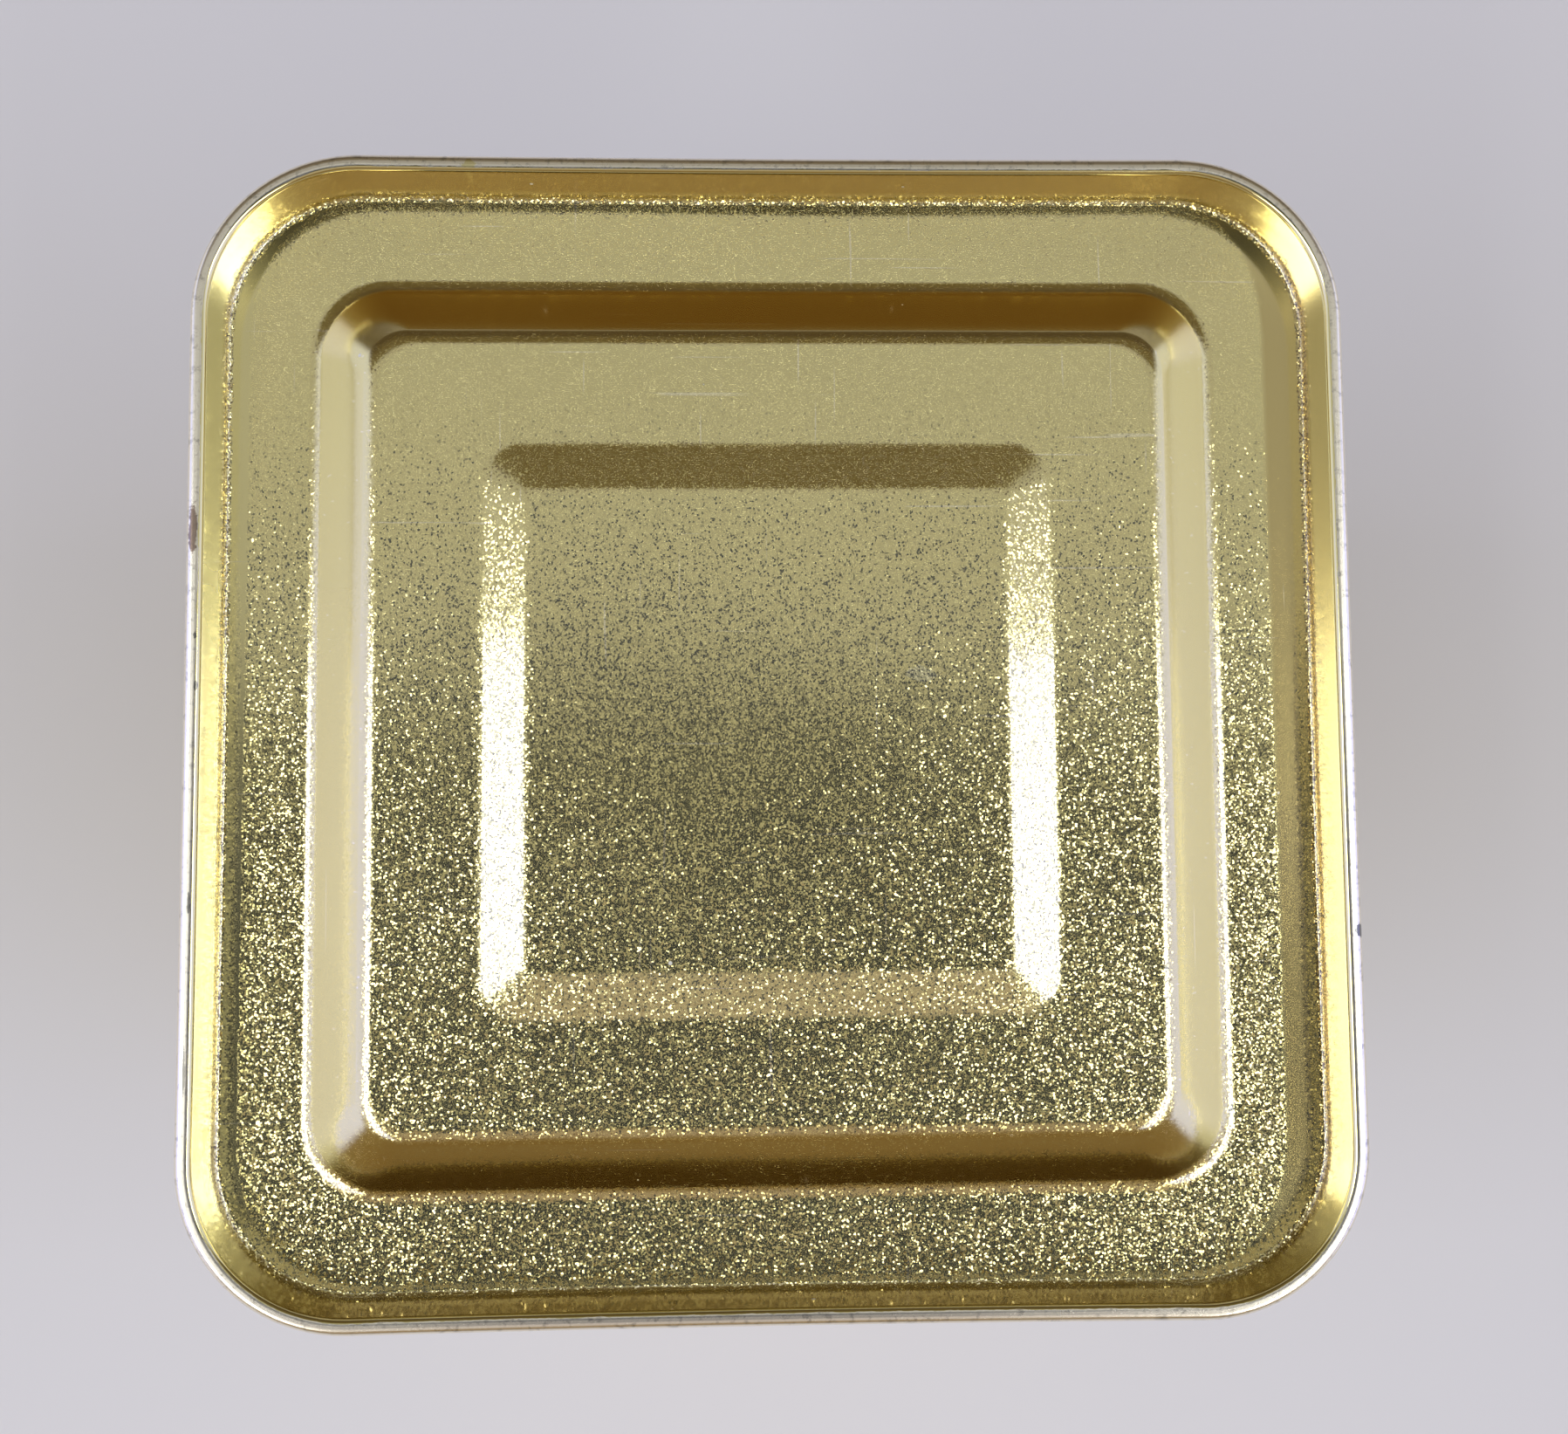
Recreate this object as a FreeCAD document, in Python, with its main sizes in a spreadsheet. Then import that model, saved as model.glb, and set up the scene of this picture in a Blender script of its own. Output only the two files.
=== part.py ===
import FreeCAD, Part
import math
import os
import Sketcher

# A square tea tin with rounded corners, in gold-lacquered tinplate. It stands on
# its slip lid with the closed base end up. The tin is shut, so the body is solid.
# +Z is up, and the origin is at the middle of the lid's raised panel, on the table.

os.makedirs("parts", exist_ok=True)
doc = FreeCAD.newDocument("tea_tin")

# ---------------------------------------------------------------- sizes, mm
sizes = doc.addObject("Spreadsheet::Sheet", "Sizes")
SIZES = [
    ("tin_width", 80.0),         # left to right over the double seam
    ("tin_depth", 80.0),         # front to back over the double seam
    ("tin_height", 105.0),       # lid's raised panel to seam crown
    ("corner_round", 11.4),      # plan radius of the seam's outer corner
    ("seam_thick", 1.2),         # double seam, five folded layers of plate
    ("seam_deep", 3.0),          # height of the double seam
    ("seam_round", 0.5),         # rounding of the seam's crown and lower edge
    ("plate", 0.23),             # tinplate thickness
    ("recess_deep", 4.0),        # crown down to the flat ring
    ("recess_lean", 5.7),        # degrees that the recess wall leans outwards
    ("bend_round", 0.4),         # radius between recess wall and flat ring
    ("end_floor", 1.5),          # solid metal stood in for below the flat ring
    ("ring_wide", 6.3),          # flat ring between recess wall and large step
    ("step_foot_round", 5.0),    # plan radius at the foot of the large step
    ("step_top_round", 2.9),     # plan radius at the top of the large step
    ("step_run", 4.3),           # width of the large step's slope in plan
    ("step_rise", 2.8),          # height of the large step
    ("step_bend", 1.1),          # fillet at the large step's top and foot
    ("shelf_wide", 7.6),         # flat between the large step and the small one
    ("dais_foot_round", 2.6),    # plan radius at the foot of the small step
    ("dais_top_round", 0.8),     # plan radius at the top of the small step
    ("dais_run", 3.4),           # width of the small step's slope in plan
    ("dais_rise", 0.7),          # height of the small step
    ("side_seam_wide", 5.0),     # lock seam that closes the body at the back
    ("side_seam_proud", 0.3),    # how far the lock seam stands off the wall
    ("side_seam_inset", 16.0),   # lock seam's middle from the body's left face
    ("lid_tall", 24.0),          # height of the slip lid over all
    ("lid_wall", 0.35),          # lid skirt
    ("lid_gap", 0.12),           # slip fit between skirt and body
    ("lid_edge_round", 2.0),     # rounding between lid top and skirt
    ("lid_rim_wide", 3.5),       # flat rim between that rounding and the panel
    ("lid_panel_run", 1.6),      # width of the slope round the raised panel
    ("lid_panel_rise", 0.8),     # how far the panel stands off the rim
    ("lid_hem_tall", 1.6),       # rolled bead at the skirt's open edge
    ("lid_hem_proud", 0.25),      # how far the bead stands off the skirt
    ("lid_hem_round", 0.22),     # rounding of the bead
]
for row, (alias, value) in enumerate(SIZES, start=1):
    sizes.set("A%d" % row, alias)
    sizes.set("B%d" % row, "%.4f" % value)
    sizes.setAlias("B%d" % row, alias)
doc.recompute()


def plan(width, depth, radius):
    """A rounded rectangle in plan, as three expressions of the sheet."""
    return {"width": width, "depth": depth, "radius": radius}


def inset(outline, amount):
    """The same rounded rectangle moved inwards by one amount all round."""
    return plan(
        "(%s) - 2 * (%s)" % (outline["width"], amount),
        "(%s) - 2 * (%s)" % (outline["depth"], amount),
        "(%s) - (%s)" % (outline["radius"], amount),
    )


def reshape(outline, amount, radius):
    """Moved inwards by one amount, with a corner radius of its own."""
    moved = inset(outline, amount)
    moved["radius"] = radius
    return moved


# ------------------------------------------------------- outlines and levels
SEAM = plan("Sizes.tin_width", "Sizes.tin_depth", "Sizes.corner_round")
RECESS = inset(SEAM, "Sizes.seam_thick")
PLUG = inset(RECESS, "-Sizes.plate")
BODY = inset(PLUG, "-Sizes.plate")
RECESS_FOOT = inset(RECESS, "Sizes.recess_deep * tan(Sizes.recess_lean * 1 deg)")
STEP_FOOT = reshape(RECESS_FOOT, "Sizes.bend_round + Sizes.ring_wide", "Sizes.step_foot_round")
STEP_TOP = reshape(STEP_FOOT, "Sizes.step_run", "Sizes.step_top_round")
DAIS_FOOT = reshape(STEP_TOP, "Sizes.shelf_wide", "Sizes.dais_foot_round")
DAIS_TOP = reshape(DAIS_FOOT, "Sizes.dais_run", "Sizes.dais_top_round")
LID_HOLE = inset(BODY, "-Sizes.lid_gap")
LID_SKIRT = inset(LID_HOLE, "-Sizes.lid_wall")
LID_HEM = inset(LID_SKIRT, "-Sizes.lid_hem_proud")
PANEL_FOOT = inset(LID_SKIRT, "Sizes.lid_edge_round + Sizes.lid_rim_wide")
PANEL_TOP = inset(PANEL_FOOT, "Sizes.lid_panel_run")

CROWN = "Sizes.tin_height"
SEAM_FOOT = "Sizes.tin_height - Sizes.seam_deep"
RING = "Sizes.tin_height - Sizes.recess_deep"
PLUG_FOOT = "Sizes.tin_height - Sizes.recess_deep - Sizes.end_floor"
SHELF = RING + " + Sizes.step_rise"
DAIS = SHELF + " + Sizes.dais_rise"
TABLE = "0"
LID_RIM = "Sizes.lid_panel_rise"
LID_FLOOR = "Sizes.lid_panel_rise + Sizes.lid_edge_round + Sizes.lid_wall"
HEM_FOOT = "Sizes.lid_tall - Sizes.lid_hem_tall"


# ------------------------------------------------------------ feature makers
def origin_plane(body, role):
    """The body's own origin plane that has this role."""
    return next(item for item in body.Origin.OriginFeatures if item.Role == role)


def level_sketch(body, name, level):
    """An empty sketch on the body's ground plane, lifted to a level."""
    sketch = body.newObject("Sketcher::SketchObject", name)
    sketch.AttachmentSupport = [(origin_plane(body, "XY_Plane"), "")]
    sketch.MapMode = "FlatFace"
    sketch.setExpression("AttachmentOffset.Base.z", level)
    return sketch


def named_distance(sketch, constraint, name, expression):
    """Adds a dimension, names it and ties it to the sheet."""
    index = sketch.addConstraint(constraint)
    sketch.renameConstraint(index, name)
    sketch.setExpression("Constraints." + name, expression)


def rounded_sketch(body, name, outline, level):
    """Four sides and four tangent corner arcs, centred on the tin's axis."""
    vector = FreeCAD.Vector
    sketch = level_sketch(body, name, level)
    half = 20.0
    round_start = 3.0
    reach = half - round_start
    sides = [
        Part.LineSegment(vector(-reach, -half, 0), vector(reach, -half, 0)),
        Part.LineSegment(vector(half, -reach, 0), vector(half, reach, 0)),
        Part.LineSegment(vector(reach, half, 0), vector(-reach, half, 0)),
        Part.LineSegment(vector(-half, reach, 0), vector(-half, -reach, 0)),
    ]
    for side in sides:
        sketch.addGeometry(side, False)
    quarter = math.pi / 2
    corners = [(reach, -reach, 3), (reach, reach, 0), (-reach, reach, 1), (-reach, -reach, 2)]
    for x, y, turns in corners:
        circle = Part.Circle(vector(x, y, 0), vector(0, 0, 1), round_start)
        arc = Part.ArcOfCircle(circle, turns * quarter, (turns + 1) * quarter)
        sketch.addGeometry(arc, False)
    start, end, centre = 1, 2, 3
    for index in range(4):
        arc = 4 + index
        following = (index + 1) % 4
        sketch.addConstraint(Sketcher.Constraint("Tangent", index, end, arc, start))
        sketch.addConstraint(Sketcher.Constraint("Tangent", arc, end, following, start))
    for index in (0, 2):
        sketch.addConstraint(Sketcher.Constraint("Horizontal", index))
    for index in (1, 3):
        sketch.addConstraint(Sketcher.Constraint("Vertical", index))
    for arc in (5, 6, 7):
        sketch.addConstraint(Sketcher.Constraint("Equal", 4, arc))
    sketch.addConstraint(Sketcher.Constraint("Symmetric", 4, centre, 6, centre, -1, 1))
    wide = Sketcher.Constraint("DistanceX", 3, start, 1, start, 2 * half)
    named_distance(sketch, wide, "Wide", outline["width"])
    deep = Sketcher.Constraint("DistanceY", 0, start, 2, start, 2 * half)
    named_distance(sketch, deep, "Deep", outline["depth"])
    corner = Sketcher.Constraint("Radius", 4, round_start)
    named_distance(sketch, corner, "Corner", outline["radius"])
    return sketch


def pad(body, name, outline, level, length):
    """Solid up from a level, of a rounded outline."""
    feature = body.newObject("PartDesign::Pad", name)
    feature.Profile = rounded_sketch(body, name + "Outline", outline, level)
    feature.setExpression("Length", length)
    doc.recompute()
    return feature


def check_cut(body, before, name):
    """Stops the build if a hollow took nothing away."""
    if not body.Shape.Volume < before:
        raise RuntimeError(name + " cut nothing")


def pocket(body, name, outline, level, depth):
    """Straight-walled hollow, down from a level."""
    before = body.Shape.Volume
    feature = body.newObject("PartDesign::Pocket", name)
    feature.Profile = rounded_sketch(body, name + "Outline", outline, level)
    feature.setExpression("Length", depth)
    doc.recompute()
    check_cut(body, before, name)
    return feature


def sloped(body, kind, name, first, first_level, second, second_level):
    """A loft between two rounded outlines: a raised step or a leaning hollow."""
    before = body.Shape.Volume
    feature = body.newObject("PartDesign::" + kind, name)
    feature.Profile = rounded_sketch(body, name + "First", first, first_level)
    feature.Sections = [rounded_sketch(body, name + "Second", second, second_level)]
    feature.Ruled = True
    doc.recompute()
    if kind == "SubtractiveLoft":
        check_cut(body, before, name)
    return feature


def number(expression):
    """What an expression of the sheet comes to now."""
    return float(sizes.evalExpression(expression))


def outline_edges(shape, outline, level):
    """Names of the edges that run along one rounded outline at one level."""
    height = number(level)
    half_width = number(outline["width"]) / 2
    half_depth = number(outline["depth"]) / 2
    close = 0.001
    found = []
    for index, edge in enumerate(shape.Edges, start=1):
        box = edge.BoundBox
        lies_flat = abs(box.ZMin - height) < close and abs(box.ZMax - height) < close
        spare_x = half_width - max(abs(box.XMin), abs(box.XMax))
        spare_y = half_depth - max(abs(box.YMin), abs(box.YMax))
        if lies_flat and abs(min(spare_x, spare_y)) < close:
            found.append("Edge%d" % index)
    return found


def round_edges(body, name, lines, radius):
    """A fillet along whole outlines of the body's tip, its radius tied to the sheet."""
    base = body.Tip
    edges = []
    for outline, level in lines:
        edges += outline_edges(base.Shape, outline, level)
    feature = body.newObject("PartDesign::Fillet", name)
    feature.Base = (base, edges)
    feature.setExpression("Radius", radius)
    doc.recompute()
    return feature


def new_body(label):
    """An empty body at the tin's own origin."""
    body = doc.addObject("PartDesign::Body", label)
    body.Label = label
    body.Placement = FreeCAD.Placement()
    return body


# --------------------------------------------------------------- the base end
# One stamping, rolled onto the body in a double seam: a recess inside the seam,
# a flat ring, then two steps that rise towards the middle.
base_end = new_body("base_end")
pad(base_end, "EndPlug", PLUG, PLUG_FOOT, "Sizes.recess_deep + Sizes.end_floor")
pad(base_end, "DoubleSeam", SEAM, SEAM_FOOT, "Sizes.seam_deep")
sloped(base_end, "SubtractiveLoft", "Recess", RECESS, CROWN, RECESS_FOOT, RING)
sloped(base_end, "AdditiveLoft", "LargeStep", STEP_FOOT, RING, STEP_TOP, SHELF)
sloped(base_end, "AdditiveLoft", "SmallStep", DAIS_FOOT, SHELF, DAIS_TOP, DAIS)
round_edges(base_end, "StepBends", [(STEP_FOOT, RING), (STEP_TOP, SHELF)], "Sizes.step_bend")
round_edges(base_end, "RecessBend", [(RECESS_FOOT, RING)], "Sizes.bend_round")
seam_lines = [(SEAM, CROWN), (RECESS, CROWN), (SEAM, SEAM_FOOT)]
round_edges(base_end, "SeamRounds", seam_lines, "min(Sizes.seam_round; Sizes.seam_thick * 0.45)")

# ------------------------------------------------------------------- the body
# A rolled sheet closed by one upright lock seam at the back, up into the double
# seam and down into the lid. The tin is shut, so it is solid within.
tin_body = new_body("tin_body")
pad(tin_body, "Wall", BODY, LID_FLOOR, SEAM_FOOT + " - (" + LID_FLOOR + ")")
pocket(tin_body, "EndSeat", PLUG, SEAM_FOOT, SEAM_FOOT + " - (" + PLUG_FOOT + ")")
lock_seam = tin_body.newObject("PartDesign::AdditiveBox", "LockSeam")
seam_left = "-(%s) / 2 + Sizes.side_seam_inset - Sizes.side_seam_wide / 2" % BODY["width"]
seam_bottom = "Sizes.lid_tall + Sizes.lid_gap"
lock_seam.setExpression("Length", "Sizes.side_seam_wide")
lock_seam.setExpression("Width", "Sizes.plate + Sizes.side_seam_proud")
lock_seam.setExpression("Height", SEAM_FOOT + " - (" + seam_bottom + ")")
lock_seam.setExpression("Placement.Base.x", seam_left)
lock_seam.setExpression("Placement.Base.y", "(%s) / 2 - Sizes.plate" % BODY["depth"])
lock_seam.setExpression("Placement.Base.z", seam_bottom)
doc.recompute()

# -------------------------------------------------------------------- the lid
# A drawn cap that slips over the body, with a rolled bead at its open edge. The
# raised panel of its top is what the tin stands on here.
lid = new_body("lid")
pad(lid, "Skirt", LID_SKIRT, LID_RIM, "Sizes.lid_tall - " + LID_RIM)
round_edges(lid, "TopRound", [(LID_SKIRT, LID_RIM)], "Sizes.lid_edge_round")
sloped(lid, "AdditiveLoft", "Panel", PANEL_FOOT, LID_RIM, PANEL_TOP, TABLE)
pad(lid, "Bead", LID_HEM, HEM_FOOT, "Sizes.lid_hem_tall")
bead_lines = [(LID_HEM, HEM_FOOT), (LID_HEM, "Sizes.lid_tall")]
round_edges(lid, "BeadRounds", bead_lines, "min(Sizes.lid_hem_round; Sizes.lid_hem_proud * 0.9)")
pocket(lid, "Mouth", LID_HOLE, "Sizes.lid_tall", "Sizes.lid_tall - (" + LID_FLOOR + ")")

# ---------------------------------------------------------- checks and export
doc.recompute()
for item in doc.Objects:
    if "Invalid" in item.State or "Error" in item.State:
        raise RuntimeError("%s did not build: %s" % (item.Name, item.State))
for body in (base_end, tin_body, lid):
    if body.Shape.isNull() or not body.Shape.isValid() or len(body.Shape.Solids) != 1:
        raise RuntimeError(body.Label + " is not one valid solid")
for body in (base_end, tin_body, lid):
    body.Shape.exportStep("parts/" + body.Label + ".step")
    print("%s: %.1f mm3" % (body.Label, body.Shape.Volume))
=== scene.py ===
import math

import bpy
import numpy as np
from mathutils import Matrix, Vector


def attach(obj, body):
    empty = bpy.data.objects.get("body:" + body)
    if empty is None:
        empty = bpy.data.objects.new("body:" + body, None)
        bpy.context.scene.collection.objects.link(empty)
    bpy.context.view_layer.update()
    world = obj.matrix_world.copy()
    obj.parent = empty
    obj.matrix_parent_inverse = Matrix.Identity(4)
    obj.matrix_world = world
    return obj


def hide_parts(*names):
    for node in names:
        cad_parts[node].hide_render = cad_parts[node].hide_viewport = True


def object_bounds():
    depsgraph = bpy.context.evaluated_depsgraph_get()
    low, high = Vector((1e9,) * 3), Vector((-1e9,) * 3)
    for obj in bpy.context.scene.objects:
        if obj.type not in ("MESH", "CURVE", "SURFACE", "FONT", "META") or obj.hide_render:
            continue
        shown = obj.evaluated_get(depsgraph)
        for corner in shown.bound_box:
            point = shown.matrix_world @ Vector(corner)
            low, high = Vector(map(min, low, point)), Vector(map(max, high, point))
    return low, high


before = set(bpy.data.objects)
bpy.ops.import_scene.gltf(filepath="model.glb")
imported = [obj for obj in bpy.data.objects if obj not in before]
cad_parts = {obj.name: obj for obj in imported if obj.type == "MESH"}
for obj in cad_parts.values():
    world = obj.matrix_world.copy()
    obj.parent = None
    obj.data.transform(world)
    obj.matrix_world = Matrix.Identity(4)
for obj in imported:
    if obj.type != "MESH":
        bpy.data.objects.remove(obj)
cad_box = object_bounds()

# ============================================================ camera and studio
# A square tin stands on a pale table. The camera hangs close over the middle of the
# upturned base end, a few degrees off plumb, and looks down into it.

MM = 0.001
TOP = cad_box[1][2]
scene = bpy.context.scene
scene.view_settings.view_transform = "Standard"


def add_object(name, data):
    """An object in the scene that holds this mesh, lamp or camera."""
    item = bpy.data.objects.new(name, data)
    scene.collection.objects.link(item)
    return item


CAMERA_ABOVE_RIM = 112.2 * MM
CAMERA_ASIDE = (-3.37 * MM, -7.98 * MM)
CAMERA_TURN = (math.radians(4.41), math.radians(-1.97), math.radians(-0.48))
camera_data = bpy.data.cameras.new("camera")
camera_data.sensor_width = 36.0
camera_data.lens = 38.06
camera_data.clip_start = 0.01
camera = add_object("camera", camera_data)
camera.location = (*CAMERA_ASIDE, TOP + CAMERA_ABOVE_RIM)
camera.rotation_euler = CAMERA_TURN
scene.camera = camera


def socket(node, name):
    """The first input of a node that has this name."""
    return next(item for item in node.inputs if item.name == name)


def math_node(tree, operation, first, second=None, third=None, clamp=False):
    """A Math node; each input is a socket or a number."""
    node = tree.nodes.new("ShaderNodeMath")
    node.operation = operation
    node.use_clamp = clamp
    for index, value in enumerate((first, second, third)):
        if value is None:
            continue
        if hasattr(value, "is_output"):
            tree.links.new(value, node.inputs[index])
        else:
            node.inputs[index].default_value = value
    return node.outputs[0]


def soft_step(tree, value, low, high, start=0.0, end=1.0):
    """A smooth rise from start to end as the value goes from low to high."""
    node = tree.nodes.new("ShaderNodeMapRange")
    node.interpolation_type = "SMOOTHSTEP"
    tree.links.new(value, node.inputs["Value"])
    node.inputs["From Min"].default_value = low
    node.inputs["From Max"].default_value = high
    node.inputs["To Min"].default_value = start
    node.inputs["To Max"].default_value = end
    return node.outputs["Result"]


def colour_mix(tree, share, first, second, blend="MIX"):
    """A mix of two colours; each is a socket or a list of three numbers."""
    node = tree.nodes.new("ShaderNodeMix")
    node.data_type = "RGBA"
    node.blend_type = blend
    if hasattr(share, "is_output"):
        tree.links.new(share, node.inputs["Factor"])
    else:
        node.inputs["Factor"].default_value = share
    for key, value in (("A", first), ("B", second)):
        target = next(item for item in node.inputs if item.name == key and item.type == "RGBA")
        if hasattr(value, "is_output"):
            tree.links.new(value, target)
        else:
            target.default_value = (*value, 1.0)
    return next(item for item in node.outputs if item.type == "RGBA")


# The room that the tin mirrors: a light ceiling that dims towards the far wall, a dark
# patch straight overhead, the warm side of the room behind the viewer, and bright walls
# left and right. Near the horizon it is pale. The camera itself sees a plain backdrop.
CEILING = (0.50, 0.51, 0.51)
FAR_CEILING = (0.15, 0.12, 0.07)
FAR_WALL = (0.10, 0.075, 0.05)
OVERHEAD = (0.034, 0.042, 0.068)
NEAR_CEILING = (0.48, 0.43, 0.42)
NEAR_WALL = (0.26, 0.185, 0.095)
SIDE_WALL = (0.90, 0.96, 1.75)
FAR_SIDE_WALL = (0.80, 0.86, 1.20)
HORIZON_SIDES = (0.86, 0.86, 0.87)
HORIZON_ENDS = (0.42, 0.41, 0.40)
BACKDROP = (0.68, 0.68, 0.69)

# Where each part of the room gives way to the next. A direction is told by its tangents
# from straight up: along towards the far wall, and aside to either side. A side wall
# starts where aside is this much more than along, and its two tones meet where along
# is this share of aside. The horizon goes by the direction's height, and its two tones
# by how far it faces left or right.
FAR_CEILING_EDGE = (0.44, 0.54)
FAR_WALL_EDGE = (0.80, 1.60)
NEAR_CEILING_EDGE = (-0.30, -0.46)
NEAR_WALL_EDGE = (-0.70, -1.70)
PATCH_FAR_EDGE = (0.15, 0.03)
PATCH_NEAR_EDGE = (-0.49, -0.27)
PATCH_SIDE_EDGE = (0.46, 0.31)
SIDE_WALL_EDGE = (0.28, 1.00)
SIDE_WALL_TURN = (0.36, 0.08)
HORIZON_EDGE = (0.24, 0.12)
HORIZON_TURN = (0.25, 0.85)

world = bpy.data.worlds.new("room")
scene.world = world
world.use_nodes = True
tree = world.node_tree
tree.nodes.clear()
direction = tree.nodes.new("ShaderNodeTexCoord").outputs["Generated"]
split = tree.nodes.new("ShaderNodeSeparateXYZ")
tree.links.new(direction, split.inputs[0])
height = math_node(tree, "MAXIMUM", split.outputs["Z"], 0.02)
across = math_node(tree, "DIVIDE", split.outputs["X"], height)
along = math_node(tree, "DIVIDE", split.outputs["Y"], height)
aside = math_node(tree, "ABSOLUTE", across)

room = colour_mix(tree, soft_step(tree, along, *FAR_CEILING_EDGE), CEILING, FAR_CEILING)
room = colour_mix(tree, soft_step(tree, along, *FAR_WALL_EDGE), room, FAR_WALL)
room = colour_mix(tree, soft_step(tree, along, *NEAR_CEILING_EDGE), room, NEAR_CEILING)
room = colour_mix(tree, soft_step(tree, along, *NEAR_WALL_EDGE), room, NEAR_WALL)
patch = soft_step(tree, along, *PATCH_FAR_EDGE)
patch = math_node(tree, "MULTIPLY", patch, soft_step(tree, along, *PATCH_NEAR_EDGE))
patch = math_node(tree, "MULTIPLY", patch, soft_step(tree, aside, *PATCH_SIDE_EDGE))
room = colour_mix(tree, patch, room, OVERHEAD)
beside = math_node(tree, "SUBTRACT", aside, math_node(tree, "ABSOLUTE", along))
bearing = math_node(tree, "DIVIDE", along, math_node(tree, "MAXIMUM", aside, 0.01))
side_wall = colour_mix(tree, soft_step(tree, bearing, *SIDE_WALL_TURN), FAR_SIDE_WALL, SIDE_WALL)
room = colour_mix(tree, soft_step(tree, beside, *SIDE_WALL_EDGE), room, side_wall)
facing = math_node(tree, "ABSOLUTE", split.outputs["X"])
horizon = colour_mix(tree, soft_step(tree, facing, *HORIZON_TURN), HORIZON_ENDS, HORIZON_SIDES)
room = colour_mix(tree, soft_step(tree, split.outputs["Z"], *HORIZON_EDGE), room, horizon)
seen = tree.nodes.new("ShaderNodeLightPath").outputs["Is Camera Ray"]
room = colour_mix(tree, seen, room, BACKDROP)
background = tree.nodes.new("ShaderNodeBackground")
tree.links.new(room, background.inputs["Color"])
world_out = tree.nodes.new("ShaderNodeOutputWorld")
tree.links.new(background.outputs[0], world_out.inputs["Surface"])

# Two long softboxes hang left and right of the tin, out of the camera's sight. Each is
# a name, then its middle and width across, and its middle and length along.
SOFTBOX_HIGH = 0.9
SOFTBOX_GLOW = 5.0
SOFTBOX_COLOUR = (0.88, 0.93, 1.0)
SOFTBOXES = (
    ("softbox_left", -0.665, 0.39, -0.46, 1.18),
    ("softbox_right", 0.595, 0.31, -0.46, 1.18),
)
for name, middle_x, wide, middle_y, long in SOFTBOXES:
    lamp = bpy.data.lights.new(name, "AREA")
    lamp.shape = "RECTANGLE"
    lamp.size = wide
    lamp.size_y = long
    lamp.energy = SOFTBOX_GLOW * math.pi * wide * long
    lamp.color = SOFTBOX_COLOUR
    box = add_object(name, lamp)
    box.location = (middle_x, middle_y, TOP + SOFTBOX_HIGH)
    box.visible_camera = False

# The table top is one wide pale sheet, nearly matt.
TABLE_HALF = 6.0
TABLE_COLOUR = (0.72, 0.69, 0.645, 1.0)
TABLE_ROUGHNESS = 0.8
TABLE_GLOSS = 0.1
table_mesh = bpy.data.meshes.new("table")
corners = TABLE_HALF * np.array([[-1, -1, 0], [1, -1, 0], [1, 1, 0], [-1, 1, 0]], float)
table_mesh.from_pydata(corners.tolist(), [], [(0, 1, 2, 3)])
table = add_object("table", table_mesh)
table_paint = bpy.data.materials.new("table_paint")
table_paint.use_nodes = True
table_shader = table_paint.node_tree.nodes["Principled BSDF"]
table_shader.inputs["Base Color"].default_value = TABLE_COLOUR
table_shader.inputs["Roughness"].default_value = TABLE_ROUGHNESS
table_shader.inputs["Specular IOR Level"].default_value = TABLE_GLOSS
table_mesh.materials.append(table_paint)

# ==================================================================== base end
# The tin's closed end is one stamping of stone-finish tinplate, lacquered gold. Its
# edge is rolled over the body sheet's edge and pressed flat, which makes the double
# seam. Inside it the panel drops to a flat ring and climbs two steps to its middle.

SEAM_HALF = 40.0
SEAM_CORNER = 11.4
SEAM_THICK = 1.2
SEAM_DEEP = 3.0
SEAM_TOP_ROUND = 0.55
SEAM_INNER_ROUND = 0.42
SEAM_LIP_ROUND = 0.32
SEAM_SIDE_ROUND = 6.0
RECESS_DEEP = 4.0
RECESS_LEAN = 0.40
RECESS_BEND = 0.40
STEP_FOOT_HALF = 31.7
STEP_TOP_HALF = 27.4
STEP_FOOT_CORNER = 5.0
STEP_TOP_CORNER = 2.9
STEP_RISE = 2.8
STEP_TOP_BEND = 2.2
STEP_FOOT_BEND = 2.2
DAIS_FOOT_HALF = 19.8
DAIS_TOP_HALF = 16.4
DAIS_FOOT_CORNER = 2.6
DAIS_TOP_CORNER = 0.8
DAIS_RISE = 0.7
DAIS_BEND = 4.0
PLUG_HALF = 39.03
PLUG_FOOT = -6.0

# A profile starts and ends this far from the axis, and its last ring closes to a pole.
POLE_HALF = 0.4

# The ring gets extra rings of points this far in from the wall's foot, where the
# smooth band's edge runs.
BAND_RINGS = (3.0, 2.7, 2.4, 2.0, 1.6, 1.3, 1.0, 0.75, 0.6)

STATIONS_SIDE = 30
STATIONS_CORNER = 22


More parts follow.
